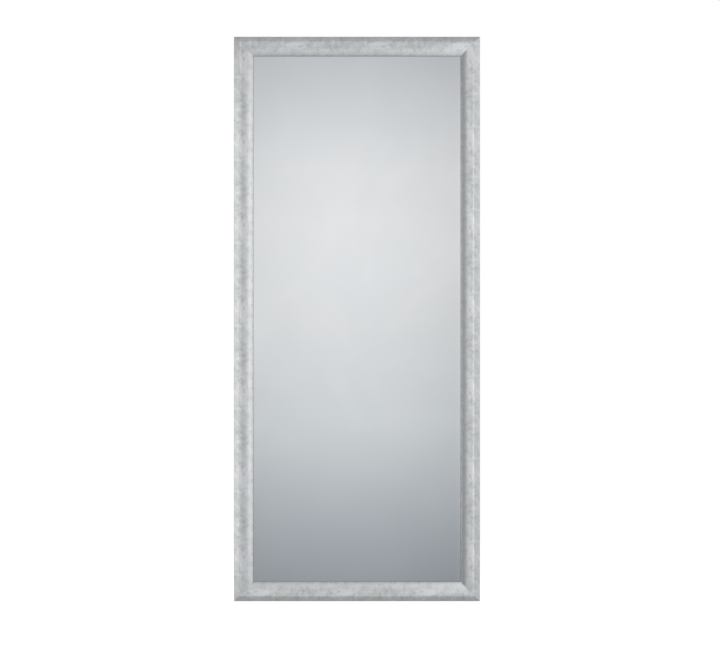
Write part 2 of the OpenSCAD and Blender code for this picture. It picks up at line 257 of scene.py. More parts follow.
def rollerPatterns(tree, along, across):
    # what the roller prints: a wave once a turn and one twice a turn, then noises wound round it
    p = foilPrint
    roller = p["repeat"] * mm / (2 * math.pi)
    turn = add(tree, "ShaderNodeMath", [along, roller], operation="DIVIDE")
    twoTurns = add(tree, "ShaderNodeMath", [turn, 2], operation="MULTIPLY")
    once = add(tree, "ShaderNodeMath", [turn], operation="COSINE")
    aQuarterOn = add(tree, "ShaderNodeMath", [turn], operation="SINE")
    twice = add(tree, "ShaderNodeMath", [twoTurns], operation="COSINE")
    onRoller = add(tree, "ShaderNodeCombineXYZ", [
        add(tree, "ShaderNodeMath", [once, roller], operation="MULTIPLY"),
        add(tree, "ShaderNodeMath", [aQuarterOn, roller], operation="MULTIPLY"),
        across
    ])
    # turned askew, so that the noise's own grid doesn't run along the moulding
    askew = add(tree, "ShaderNodeVectorRotate", {
        "Vector": onRoller, "Axis": p["askewAxis"], "Angle": math.radians(p["askewTurn"])
    })
    return [once, twice] + [
        add(tree, "ShaderNodeTexNoise", {
            "Vector": askew, "Scale": 1 / (p[size] * mm), "Detail": detail,
            "Roughness": roughness, "Distortion": distortion
        })
        for size, detail, roughness, distortion in (
            ("blotch", 4, 0.62, 0.4), ("grain", 2, 0.6, 0), ("drift", 2, 0.5, 0),
            ("tone", 1, 0.5, 0), ("curl", 2, 0.7, 1.6)
        )
    ]


def strip(tree, pastCrest, middle, core, reach, outside=0.0):
    # a strip along the moulding, with soft sides, whose middle runs that far past the crest
    aside = add(tree, "ShaderNodeMath", [pastCrest, middle * mm], operation="SUBTRACT")
    aside = add(tree, "ShaderNodeMath", [aside], operation="ABSOLUTE")
    return add(tree, "ShaderNodeMapRange", [aside, core * mm, reach * mm, 1, outside], **softly)


def mixed(tree, start, *layers):
    # the start with patterns added to it, each by its share
    for pattern, share in layers:
        start = add(tree, "ShaderNodeMath", [pattern, share, start], operation="MULTIPLY_ADD")
    return start


def foilMaterial():
    # hot-stamped silver foil over fibreboard: satin metal under a thin lacquer, printed with
    # cloudy grey mottling that fades out in smooth, slightly lavender patches
    p = foilPrint
    material, tree, shader = newMaterial("mottled silver foil", {
        "Metallic": 0.85, "Coat Weight": 0.15, "Coat Roughness": 0.36
    })
    wrap = add(tree, "ShaderNodeAttribute", attribute_name="wrap").outputs["Vector"]
    along, across, toMitre = add(tree, "ShaderNodeSeparateXYZ", [wrap]).outputs
    once, twice, blotch, grain, drift, tone, curls = rollerPatterns(tree, along, across)
    crestLine = acrossAt(moulding["crestAt"]) * mm
    pastCrest = add(tree, "ShaderNodeMath", [across, crestLine], operation="SUBTRACT")
    patch = mixed(
        tree, strip(tree, pastCrest, p["patchMiddle"], p["patchCore"], p["patchReach"]),
        (twice, 0.25), (once, 0.35), (drift, 0.9), (blotch, 0.9)
    )
    patch = add(tree, "ShaderNodeMapRange", [patch, *p["patchLevels"], 0, p["patchShare"]],
                **softly)

    # the mottling is calmer on the outer bevel and towards the glass
    cloud = mixed(tree, -0.5, (blotch, 0.5), (grain, 0.25), (drift, 0.25))
    contrast = strip(tree, pastCrest, p["smudgeMiddle"], p["calmFrom"], p["calmAfter"],
                     1 - p["calm"])
    cloud = mixed(tree, 0.5, (cloud, contrast))
    colour = lay(tree, cloud, p["darkLevels"], p["dark"], p["middle"])
    colour = lay(tree, cloud, p["lightLevels"], colour, p["light"])

    smudge = mixed(tree, 0, (once, -1), (drift, 1.4))
    smudge = add(tree, "ShaderNodeMapRange", [smudge, *p["smudgeLevels"]], **softly)
    within = strip(tree, pastCrest, p["smudgeMiddle"], p["smudgeCore"], p["smudgeReach"])
    marks = add(tree, "ShaderNodeMapRange", [
        curls, *p["curlLevels"], p["smudgeDepth"], p["smudgeDepth"] * p["curlShare"]
    ], **softly)
    for part in (within, marks):
        smudge = add(tree, "ShaderNodeMath", [smudge, part], operation="MULTIPLY")
    colour = add(tree, "ShaderNodeMix", [smudge, colour, p["shaded"]], **inColour)
    colour = add(tree, "ShaderNodeMix", [patch, colour, p["smooth"]], **inColour)
    greener = add(tree, "ShaderNodeMath", [
        add(tree, "ShaderNodeMapRange", [tone, *p["toneLevels"]], **softly),
        add(tree, "ShaderNodeMapRange", [
            pastCrest, p["greenFrom"] * mm, p["greenTo"] * mm, 1, p["greenShare"]
        ], **softly)
    ], operation="MULTIPLY")
    colour = add(tree, "ShaderNodeMix", [greener, colour, p["greener"]], blend_type="MULTIPLY",
                 **inColour)

    # here and there the print is rubbed darker along the crest, and the cut edges at the mitres
    # are bare
    rubbed = add(tree, "ShaderNodeMapRange", [cloud, *p["smearLevels"], p["smearShare"], 0],
                 **softly)
    nearCrest = strip(tree, pastCrest, 0, 0, p["crestSmear"])
    smear = add(tree, "ShaderNodeMath", [rubbed, nearCrest], operation="MULTIPLY")
    colour = add(tree, "ShaderNodeMix", [smear, colour, p["shaded"]], **inColour)
    colour = lay(tree, toMitre, (p["cutFrom"] * mm, p["cutTo"] * mm), colour, p["cutEdge"],
                 shares=(p["cutShare"], 0))

    # the smooth patches have no relief, which is in mm
    roughness = add(tree, "ShaderNodeMapRange", [cloud, *p["roughLevels"], *p["roughness"]],
                    **softly)
    relief = mixed(tree, 0, (blotch, p["blotchDepth"]), (grain, p["grainDepth"]))
    unpatched = add(tree, "ShaderNodeMath", [1, patch], operation="SUBTRACT")
    relief = add(tree, "ShaderNodeMath", [relief, unpatched], operation="MULTIPLY")
    bump = add(tree, "ShaderNodeBump", {"Height": relief, "Distance": mm})
    fill(shader, {"Base Color": colour, "Roughness": roughness, "Normal": bump})
    return material


def boardMaterial():
    # medium density fibreboard: matt brown and finely fibrous, with a hairline where two
    # members meet at a mitre
    material, tree, shader = newMaterial("raw fibreboard", {"Roughness": 0.85})
    place = add(tree, "ShaderNodeTexCoord").outputs["Object"]
    fibres, colour = clouds(tree, place, "#997a55", "#b59770", size=1.1, levels=(0.3, 0.7),
                            Detail=3, Roughness=0.65)
    _, colour = clouds(tree, place, colour, "#a1825c", size=45, levels=(0.35, 0.65), share=0.35)
    fromMitre = add(tree, "ShaderNodeMath", inwards(tree, place), operation="SUBTRACT")
    fromMitre = add(tree, "ShaderNodeMath", [fromMitre], operation="ABSOLUTE")
    colour = lay(tree, fromMitre, (0.15 * mm, 0.6 * mm), colour, "#4a3622", shares=(0.7, 0))
    bump = add(tree, "ShaderNodeBump", {"Height": fibres, "Distance": 0.12 * mm})
    fill(shader, {"Base Color": colour, "Normal": bump})
    return material


def hardboardMaterial():
    # hardboard with its screen side out: dark brown, with the fine grid that the press leaves
    material, tree, shader = newMaterial("pressed hardboard", {"Roughness": 0.7})
    place = add(tree, "ShaderNodeTexCoord").outputs["Object"]
    x, _, z = add(tree, "ShaderNodeSeparateXYZ", [place]).outputs
    pitch = 1.5 * mm  # of the screen's wires
    ridges = []
    for way in (x, z):
        angle = add(tree, "ShaderNodeMath", [way, 2 * math.pi / pitch], operation="MULTIPLY")
        ridges.append(add(tree, "ShaderNodeMath", [angle], operation="SINE"))
    screen = add(tree, "ShaderNodeMath", ridges, operation="MULTIPLY")
    fibres, colour = clouds(tree, place, "#674930", "#835f3d", size=2.2, levels=(0.3, 0.7),
                            Detail=4, Roughness=0.65)
    _, colour = clouds(tree, place, colour, "#74522f", size=130, levels=(0.35, 0.65), share=0.4,
                       Detail=3)
    colour = lay(tree, screen, (0.1, 0.9), colour, "#4d3420", shares=(0, 0.22))
    relief = add(tree, "ShaderNodeMath", [screen, -0.5, fibres], operation="MULTIPLY_ADD")
    bump = add(tree, "ShaderNodeBump", {"Height": relief, "Distance": 0.1 * mm})
    fill(shader, {"Base Color": colour, "Normal": bump})
    return material


def foamMaterial():
    # thin packing foam: white, matt, with closed cells of about a millimetre
    material, tree, shader = newMaterial("white packing foam", {
        "Roughness": 0.9, "Sheen Weight": 0.2, "Sheen Roughness": 0.5
    })
    place = add(tree, "ShaderNodeTexCoord").outputs["Object"]
    cellSize = 1.1 * mm
    cells = add(tree, "ShaderNodeTexVoronoi", {"Vector": place, "Scale": 1 / cellSize})
    wall = add(tree, "ShaderNodeMapRange", [cells, 0.2, 0.7], **softly)
    colour = add(tree, "ShaderNodeMix", [wall, "#eeeeea", "#d9d9d3"], **inColour)
    bump = add(tree, "ShaderNodeBump", {"Height": wall, "Distance": -0.08 * mm})
    fill(shader, {"Base Color": colour, "Normal": bump})
    return material


def mirrorMaterial():
    # silvered float glass: a true reflection, very slightly cool, with the faint haze of a
    # surface that has been wiped. All round along the lip it has a painted shade line, which
    # stands in for the lip's shadow and its reflection in the glass's thickness.
    material, tree, shader = newMaterial("silvered float glass", {
        "Metallic": 1, "Coat Weight": 0.25, "Coat Roughness": 0
    })
    place = add(tree, "ShaderNodeTexCoord").outputs["Object"]
    wiped, colour = clouds(tree, place, "#edf1f1", "#f0f3f3", size=180, levels=(0.35, 0.65),
                           Detail=3, Distortion=0.6)
    # painted shade: darker within 3 mm of the lip, all round
    fromLip = add(tree, "ShaderNodeMath", inwards(tree, place, moulding["face"]),
                  operation="MINIMUM")
    colour = lay(tree, fromLip, (0, 3 * mm), colour, "#7e8384", shares=(0.45, 0))
    haze = add(tree, "ShaderNodeMapRange", [wiped, 0.4, 0.7, 0, 0.008], **softly)
    fill(shader, {"Base Color": colour, "Roughness": haze})
    return material


def steelMaterial():
    # spring steel, blued in the heat: dark, with a dull satin and lighter rubbed spots
    material, tree, shader = newMaterial("blued spring steel", {"Metallic": 1})
    place = add(tree, "ShaderNodeTexCoord").outputs["Object"]
    rubbed, colour = clouds(tree, place, "#515459", "#8b8c8c", size=2.5, levels=(0.42, 0.7),
                            Detail=3, Roughness=0.6)
    satin = add(tree, "ShaderNodeMapRange", [rubbed, 0.35, 0.7, 0.5, 0.3], **softly)
    fill(shader, {"Base Color": colour, "Roughness": satin})
    return material


def zincMaterial(name, roughness, streak):
    # bright zinc plate on steel: pale metal with a slightly clouded, yellow to blue passivation
    material, tree, shader = newMaterial(name, {"Metallic": 1})
    place = add(tree, "ShaderNodeTexCoord").outputs["Object"]
    _, colour = clouds(tree, place, "#b3b9be", "#c6c4b8", size=9, levels=(0.35, 0.65),
                       Detail=3, Roughness=0.6, Distortion=0.8)
    fine, colour = clouds(tree, place, colour, "#8f9396", size=streak, levels=(0.4, 0.7),
                          share=0.3, Detail=3, Roughness=0.6)
    duller = 0.14  # how much rougher the plate is in its dull spots
    dull = add(tree, "ShaderNodeMapRange", [fine, 0.3, 0.7, roughness, roughness + duller],
               **softly)
    bump = add(tree, "ShaderNodeBump", {"Height": fine, "Distance": 0.02 * mm})
    fill(shader, {"Base Color": colour, "Roughness": dull, "Normal": bump})
    return material


def rubberMaterial():
    # soft moulded rubber: mid grey, with a dull bloom and fine specks of dust
    material, tree, shader = newMaterial("soft grey rubber", {"Roughness": 0.62, "IOR": 1.5})
    place = add(tree, "ShaderNodeTexCoord").outputs["Object"]
    _, colour = clouds(tree, place, "#7e8082", "#939597", size=6, levels=(0.35, 0.7),
                       Detail=4, Roughness=0.65)
    speckSize = 0.8 * mm
    specks = add(tree, "ShaderNodeTexNoise", {"Vector": place, "Scale": 1 / speckSize})
    bump = add(tree, "ShaderNodeBump", {"Height": specks, "Distance": 0.03 * mm})
    fill(shader, {"Base Color": colour, "Normal": bump})
    return material


silverFoil = foilMaterial()
rawBoard = boardMaterial()
bluedSteel = steelMaterial()
zincPlate = zincMaterial("bright zinc plate", roughness=0.3, streak=1.2)
zincWire = zincMaterial("zinc plated wire", roughness=0.24, streak=0.7)
print("materials made")

creaseAngle = 32  # an edge that bends more than this stays crisp


def newTree(name, **inputs):
    # a Geometry Nodes tree with named inputs: Geometry first, then the ones given, by kind
    tree = bpy.data.node_groups.new(name, "GeometryNodeTree")
    tree.interface.new_socket("Geometry", in_out="OUTPUT", socket_type="NodeSocketGeometry")
    tree.interface.new_socket("Geometry", in_out="INPUT", socket_type="NodeSocketGeometry")
    for label, kind in {**inputs, "Material": "Material"}.items():
        tree.interface.new_socket(label, in_out="INPUT", socket_type="NodeSocket" + kind)
    return tree, tree.nodes.new("NodeGroupInput").outputs


def closeTree(tree, geometry, given, *spare):
    # drops the spare attributes and shades smooth with crisp creases, then realizes the
    # instances and sets the material
    for name in spare:
        geometry = add(tree, "GeometryNodeRemoveAttribute", [geometry, name])
    smooth = add(tree, "GeometryNodeSetShadeSmooth", [geometry])
    bend = add(tree, "GeometryNodeInputMeshEdgeAngle").outputs["Unsigned Angle"]
    sharp = add(tree, "FunctionNodeCompare", [bend, math.radians(creaseAngle)])
    creased = add(tree, "GeometryNodeSetShadeSmooth", {
        "Geometry": smooth, "Selection": sharp, "Shade Smooth": False
    }, domain="EDGE")
    real = add(tree, "GeometryNodeRealizeInstances", [creased])
    dressed = add(tree, "GeometryNodeSetMaterial", {
        "Geometry": real, "Material": given["Material"]
    })
    add(tree, "NodeGroupOutput", [dressed])
    return tree


def grow(name, tree, mesh, **values):
    # runs the tree on the mesh and keeps the result as a plain mesh
    mesh = mesh or bpy.data.meshes.new(name)
    mesh.materials.append(values["Material"])
    piece = bpy.data.objects.new(name, mesh)
    scene.collection.objects.link(piece)
    modifier = piece.modifiers.new("grow", "NODES")
    modifier.node_group = tree
    for item in tree.interface.items_tree:
        if item.in_out == "INPUT" and item.name in values:
            modifier[item.identifier] = values[item.name]
    evaluated = piece.evaluated_get(bpy.context.evaluated_depsgraph_get())
    grown = bpy.data.meshes.new_from_object(evaluated)
    piece.modifiers.clear()
    piece.data = grown
    grown.name = name
    return piece


def stand(piece, body, slot, *replaced):
    # the piece rides on its body and stands for the nodes that it shows better
    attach(piece, body)
    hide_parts(*replaced)
    return piece


def foilSection():
    # closed outline of the foil as a mesh of edges, with the distance across it at each point
    outer = mouldingSurface()
    inner = inset(outer, moulding["foil"])
    across = acrossLengths(outer)
    points = [(p.x * mm, p.y * mm, 0) for p in outer + inner[::-1]]
    ring = [(i, (i + 1) % len(points)) for i in range(len(points))]
    mesh = bpy.data.meshes.new("foil section")
    mesh.from_pydata(points, ring, [])
    layer = mesh.attributes.new("across", "FLOAT", "POINT")
    layer.data.foreach_set("value", [a * mm for a in across + across[::-1]])
    return mesh


def memberTree():
    # sweeps the section along one member, cuts both ends to the mitre and turns it into place
    tree, given = newTree("mitred member", Length="Float", Out="Float", Gap="Float",
                          Middle="Float", Turn="Float", Stretches="Int", Shift="Float")
    outline = add(tree, "GeometryNodeMeshToCurve", [given["Geometry"]])
    outline = add(tree, "GeometryNodeStoreNamedAttribute", {
        "Geometry": outline, "Name": "section", "Value": add(tree, "GeometryNodeInputPosition")
    }, data_type="FLOAT_VECTOR")
    points = add(tree, "ShaderNodeMath", [given["Stretches"], 1], operation="ADD")
    line = add(tree, "GeometryNodeCurvePrimitiveLine", {"End": (1, 0, 0)})
    line = add(tree, "GeometryNodeResampleCurve", {"Curve": line, "Count": points})
    share = add(tree, "GeometryNodeSplineParameter").outputs["Factor"]
    run = add(tree, "ShaderNodeMath", [share, 2, -1], operation="MULTIPLY_ADD")
    line = add(tree, "GeometryNodeStoreNamedAttribute", {
        "Geometry": line, "Name": "run", "Value": run
    }, data_type="FLOAT")
    swept = add(tree, "GeometryNodeCurveToMesh", {
        "Curve": line, "Profile Curve": outline, "Fill Caps": True
    })

    section, run, across = [
        add(tree, "GeometryNodeInputNamedAttribute", [name], data_type=kind)
        for name, kind in (("section", "FLOAT_VECTOR"), ("run", "FLOAT"), ("across", "FLOAT"))
    ]
    u, v, _ = add(tree, "ShaderNodeSeparateXYZ", [section]).outputs
    half = add(tree, "ShaderNodeMath", [given["Length"], 0.5], operation="MULTIPLY")
    half = add(tree, "ShaderNodeMath", [half, u], operation="SUBTRACT")
    along = add(tree, "ShaderNodeMath", [run, half], operation="MULTIPLY")
    fromMiddle = add(tree, "ShaderNodeMath", [along], operation="ABSOLUTE")
    wrap = add(tree, "ShaderNodeCombineXYZ", [
        add(tree, "ShaderNodeMath", [along, given["Shift"]], operation="ADD"),
        across,
        add(tree, "ShaderNodeMath", [half, fromMiddle], operation="SUBTRACT")
    ])
    marked = add(tree, "GeometryNodeStoreNamedAttribute", {
        "Geometry": swept, "Name": "wrap", "Value": wrap
    }, data_type="FLOAT_VECTOR")
    offWall = add(tree, "ShaderNodeMath", [v, given["Gap"]], operation="ADD")
    spot = add(tree, "ShaderNodeCombineXYZ", [
        along,
        add(tree, "ShaderNodeMath", [offWall, -1], operation="MULTIPLY"),
        add(tree, "ShaderNodeMath", [given["Out"], u], operation="SUBTRACT")
    ])
    shaped = add(tree, "GeometryNodeSetPosition", {"Geometry": marked, "Position": spot})
    turned = add(tree, "GeometryNodeTransform", {
        "Geometry": shaped,
        "Rotation": add(tree, "ShaderNodeCombineXYZ", {"Y": given["Turn"]}),
        "Translation": add(tree, "ShaderNodeCombineXYZ", {"Z": given["Middle"]})
    })
    return closeTree(tree, turned, given, "section", "run", "across")


# Each member: its turn in degrees, its length, how far its outer side is from the middle, and
# where the print starts on it, in mm.
rail = {"length": wholeFrame["width"], "out": wholeFrame["height"] / 2}
stile = {"length": wholeFrame["height"], "out": wholeFrame["width"] / 2}
members = {
    "top_rail": {**rail, "turn": 0, "shift": 173},
    "right_stile": {**stile, "turn": 90, "shift": 39},
    "bottom_rail": {**rail, "turn": 180, "shift": 196},
    "left_stile": {**stile, "turn": 270, "shift": 217},
}


def makeMembers():
    tree = memberTree()
    for name, m in members.items():
        piece = grow(
            name + "_silver_foil", tree, foilSection(), Material=silverFoil,
            Length=m["length"] * mm, Out=m["out"] * mm, Turn=math.radians(m["turn"]),
            Gap=wholeFrame["wallGap"] * mm, Middle=wholeFrame["midHeight"] * mm,
            Stretches=round(m["length"] / moulding["step"]), Shift=m["shift"] * mm
        )
        stand(piece, "framed_mirror", "silver_foil", name + "_foil")
        nodes[name + "_core"].data.materials[0] = rawBoard
    print("four mitred members swept")


makeMembers()
nodes["mirror_glass"].data.materials[0] = mirrorMaterial()
nodes["foam_sheet"].data.materials[0] = foamMaterial()
nodes["back_board"].data.materials[0] = hardboardMaterial()
for corner in ("top_left", "top_right", "bottom_left", "bottom_right"):
    nodes["corner_nails_" + corner].data.materials[0] = bluedSteel
print("glass, backing and corner nails dressed")


def placed(tree, geometry, given):
    # turns the geometry about Y and moves it to its place
    return add(tree, "GeometryNodeTransform", {
        "Geometry": geometry, "Translation": given["Place"],
        "Rotation": add(tree, "ShaderNodeCombineXYZ", {"Y": given["Turn"]})
    })


def lathe(name, outline, steps):
    # outline of (radius, height) in mm, turned round Y, from its lower pole to its upper one
    (_, foot), *rings, (_, top) = outline
    turns = [2 * math.pi * i / steps for i in range(steps)]
    points = [(0, foot, 0)]
    points += [(r * math.cos(turn), h, r * math.sin(turn)) for r, h in rings for turn in turns]
    points.append((0, top, 0))
    last = len(points) - 1
    faces = []
    for i in range(steps):
        j = (i + 1) % steps
        faces.append((0, 1 + i, 1 + j))
        for low in range(1, last - steps, steps):
            high = low + steps
            faces.append((low + i, high + i, high + j, low + j))
        faces.append((last - steps + i, last, last - steps + j))
    mesh = bpy.data.meshes.new(name)
    mesh.from_pydata([Vector(point) * mm for point in points], [], faces)
    return mesh


# Steel points that hold the board in the rebate, in mm. Their lengths run from the rebate's wall
# over the board, but for the grip, which is driven into the wall.
fixingPoint = {
    "width": 8, "steel": 0.6, "grip": 6, "reach": 10, "rebateWall": 47, "boardRecess": 2,
    "point": 0.02,  # width of the driven tip, as a share of the whole
    "straightTo": 3, "cornerRadius": 1.2, "cornerSteps": 4,
    "ribHeight": 0.45, "ribWidth": 1.6, "ribShoulder": 0.6, "ribFrom": -1, "ribFull": 2,
    "ribFade": 2, "lift": 0.5, "liftFrom": 6,
    "margin": 70, "spacing": 150,
}


def border(layer):
    # the points round a grid, in order
    return ([row[0] for row in layer] + layer[-1][1:]
            + [row[-1] for row in layer[-2::-1]] + layer[0][-2:0:-1])


def fixingPointMesh():
    # one tab: pointed where it is driven in, ribbed along its middle, with its free end lifted
    f = fixingPoint
    half, rib = f["width"] / 2, f["ribWidth"] / 2
    tipEnd = half - f["grip"]
    rows = [(-f["grip"], f["point"]), ((tipEnd - f["grip"]) / 2, 0.5), (tipEnd, 1), (0, 1),
            (f["straightTo"], 1)]
    for i in range(f["cornerSteps"] + 1):
        bend = i / f["cornerSteps"] * math.pi / 2
        rows.append((f["reach"] - f["cornerRadius"] * (1 - math.sin(bend)),
                     1 - f["cornerRadius"] / half * (1 - math.cos(bend))))
    columns = [(-half, 0), (-rib, 0), (-rib / 2, f["ribShoulder"]), (0, 1),
               (rib / 2, f["ribShoulder"]), (rib, 0), (half, 0)]
    shape = bmesh.new()
    layers = []
    for side in (0, f["steel"]):
        layer = []
        for s, share in rows:
            lifted = f["lift"] * max(0, (s - f["liftFrom"]) / (f["reach"] - f["liftFrom"])) ** 2
            rise = min(1, max(0, (s - f["ribFrom"]) / (f["ribFull"] - f["ribFrom"])))
            ribHere = f["ribHeight"] * rise * min(1, (f["reach"] - s) / f["ribFade"])
            layer.append([shape.verts.new((
                x * share * mm, (-f["boardRecess"] + side + lifted + ribHere * h) * mm,
                -(f["rebateWall"] + s) * mm
            )) for x, h in columns])
        layers.append(layer)
    for layer in layers:
        for a, b in zip(layer, layer[1:]):
            for i in range(len(columns) - 1):
                shape.faces.new((a[i], a[i + 1], b[i + 1], b[i]))
    low, high = (border(layer) for layer in layers)
    for i in range(len(low)):
        j = (i + 1) % len(low)
        shape.faces.new((low[i], low[j], high[j], high[i]))
    bmesh.ops.recalc_face_normals(shape, faces=shape.faces)
    mesh = bpy.data.meshes.new("fixing point")
    shape.to_mesh(mesh)
    shape.free()
    return mesh


def rowTree():
    # repeats a tab in a row along one member
    tree, given = newTree("row of fixing points", Count="Int", Run="Float", Out="Float",
                          Turn="Float", Place="Vector")
    half = add(tree, "ShaderNodeMath", [given["Run"], 0.5], operation="MULTIPLY")
    back = add(tree, "ShaderNodeMath", [half, -1], operation="MULTIPLY")
    line = add(tree, "GeometryNodeMeshLine", {
        "Count": given["Count"],
        "Start Location": add(tree, "ShaderNodeCombineXYZ", {"X": back, "Z": given["Out"]}),
        "Offset": add(tree, "ShaderNodeCombineXYZ", {"X": half, "Z": given["Out"]})
    }, mode="END_POINTS")
    row = add(tree, "GeometryNodeInstanceOnPoints", {
        "Points": line, "Instance": given["Geometry"]
    })
    return closeTree(tree, placed(tree, row, given), given)


def makeFixingPoints():
    tree = rowTree()
    f = fixingPoint
    for name, m in members.items():
        run = m["length"] - 2 * (moulding["face"] + f["margin"])
        side = name.split("_")[0]
        piece = grow(
            side + "_fixing_points", tree, fixingPointMesh(), Material=bluedSteel,
            Count=1 + math.ceil(run / f["spacing"]), Run=run * mm, Out=m["out"] * mm,
            Turn=math.radians(m["turn"]),
            Place=(0, -wholeFrame["wallGap"] * mm, wholeFrame["midHeight"] * mm)
        )
        stand(piece, "framed_mirror", "dark_steel", "fixing_points_" + side)
    print("fixing points set")


makeFixingPoints()

# A hanger, in mm and degrees: the folded strap, the wire ring that swings in its loop, and its
# screws.
hanger = {
    "strapWidth": 14, "strapLength": 50, "sheet": 1.1, "foldGap": 0.2, "loop": 2.7,
    "shoulder": 45, "flatFrom": 12, "flatMiddle": 30, "edge": 0.3, "edgeSteps": 3,
    "narrowest": 0.02,  # width of the strap's very end, as a share of the whole
    "wire": 3, "wireSides": 20, "ringWidth": 24, "ringArm": 1, "ringBend": 4, "bendSteps": 14,
    "ringRest": 5.5, "screws": 2, "screwFirst": 25, "screwPitch": 17,
}
# Where each hanger's ring turns, in mm across and up, and its turn in degrees.
hangerPlaces = {
    "left": {"across": -320, "up": -15.5, "turn": 0},
    "right": {"across": 320, "up": -15.5, "turn": 0},
    "top": {"across": -182, "up": 222.5, "turn": -90},
    "bottom": {"across": -182, "up": -1317.5, "turn": -90},
}


def strapPath():
    # side view of the folded sheet's middle: out along the moulding, round the loop and back
    h = hanger
    low, high = h["sheet"] / 2, 1.5 * h["sheet"] + h["foldGap"]
    end, turn = h["strapLength"], h["strapWidth"] / 2
    roundEnd = [end - turn * (1 - math.sin(math.radians(a))) for a in range(0, 91, 9)]
    radius = h["loop"] - h["sheet"] / 2
    points = [(s, low) for s in roundEnd[::-1] + [h["flatMiddle"], h["flatFrom"]]]
    for a in range(-90, h["shoulder"] - 360, -15):
        points.append((radius * math.cos(math.radians(a)),
                       h["loop"] + radius * math.sin(math.radians(a))))
    # down the shoulder, which eases into the flat at its foot
    x, y = points[-1]
    drop = y - high
    reach = drop / math.tan(math.radians(h["shoulder"]))
    for along, above in ((0.5, drop * 0.5), (0.85, drop * 0.15), (1.2, 0.02), (1.6, 0)):
        points.append((x + reach * along, high + above))
    points += [(s, high) for s in [h["flatMiddle"]] + roundEnd]
    mesh = bpy.data.meshes.new("strap path")
    mesh.from_pydata([(0, y * mm, -x * mm) for x, y in points],
                     [(i, i + 1) for i in range(len(points) - 1)], [])
    return mesh


def strapTree():
    # sweeps a flat bar with softened edges along the path, and rounds its ends in plan
    tree, given = newTree("folded strap", Width="Float", Sheet="Float", Edge="Float",
                          Length="Float", Turn="Float", Place="Vector")
    path = add(tree, "GeometryNodeMeshToCurve", [given["Geometry"]])
    spot = add(tree, "GeometryNodeInputPosition")
    tangent = add(tree, "GeometryNodeInputTangent")
    lift = add(tree, "ShaderNodeVectorMath", [tangent, (1, 0, 0)], operation="CROSS_PRODUCT")
    for name, value in (("spot", spot), ("lift", lift)):
        path = add(tree, "GeometryNodeStoreNamedAttribute", {
            "Geometry": path, "Name": name, "Value": value
        }, data_type="FLOAT_VECTOR")
    bar = add(tree, "GeometryNodeCurvePrimitiveQuadrilateral", {
        "Width": given["Width"], "Height": given["Sheet"]
    }, mode="RECTANGLE")
    bar = add(tree, "GeometryNodeFilletCurve", {
        "Curve": bar, "Count": hanger["edgeSteps"], "Radius": given["Edge"], "Limit Radius": True
    }, mode="POLY")
    bar = add(tree, "GeometryNodeStoreNamedAttribute", {
        "Geometry": bar, "Name": "bar", "Value": spot
    }, data_type="FLOAT_VECTOR")
    swept = add(tree, "GeometryNodeCurveToMesh", {
        "Curve": path, "Profile Curve": bar, "Fill Caps": True
    })
    spotHere, liftHere, barHere = [
        add(tree, "GeometryNodeInputNamedAttribute", [name], data_type="FLOAT_VECTOR")
        for name in ("spot", "lift", "bar")
    ]
    barX, barY, _ = add(tree, "ShaderNodeSeparateXYZ", [barHere]).outputs
    _, _, down = add(tree, "ShaderNodeSeparateXYZ", [spotHere]).outputs
    along = add(tree, "ShaderNodeMath", [down, -1], operation="MULTIPLY")
    half = add(tree, "ShaderNodeMath", [given["Width"], 0.5], operation="MULTIPLY")
    roundFrom = add(tree, "ShaderNodeMath", [given["Length"], half], operation="SUBTRACT")
    past = add(tree, "ShaderNodeMath", [along, roundFrom], operation="SUBTRACT")
    past = add(tree, "ShaderNodeMath", [past, 0], operation="MAXIMUM")
    share = add(tree, "ShaderNodeMath", [past, half], operation="DIVIDE")
    square = add(tree, "ShaderNodeMath", [share, share], operation="MULTIPLY")
    narrow = add(tree, "ShaderNodeMath", [1, square], operation="SUBTRACT")
    narrow = add(tree, "ShaderNodeMath", [narrow, hanger["narrowest"] ** 2], operation="MAXIMUM")
    narrow = add(tree, "ShaderNodeMath", [narrow], operation="SQRT")
    aside = add(tree, "ShaderNodeMath", [barX, narrow], operation="MULTIPLY")
    offset = add(tree, "ShaderNodeVectorMath", [liftHere, barY], operation="SCALE")
    there = add(tree, "ShaderNodeVectorMath", [spotHere, offset], operation="ADD")
    there = add(tree, "ShaderNodeVectorMath", [
        there, add(tree, "ShaderNodeCombineXYZ", {"X": aside})
    ], operation="ADD")
    strap = add(tree, "GeometryNodeSetPosition", {"Geometry": swept, "Position": there})
    return closeTree(tree, placed(tree, strap, given), given, "spot", "lift", "bar")


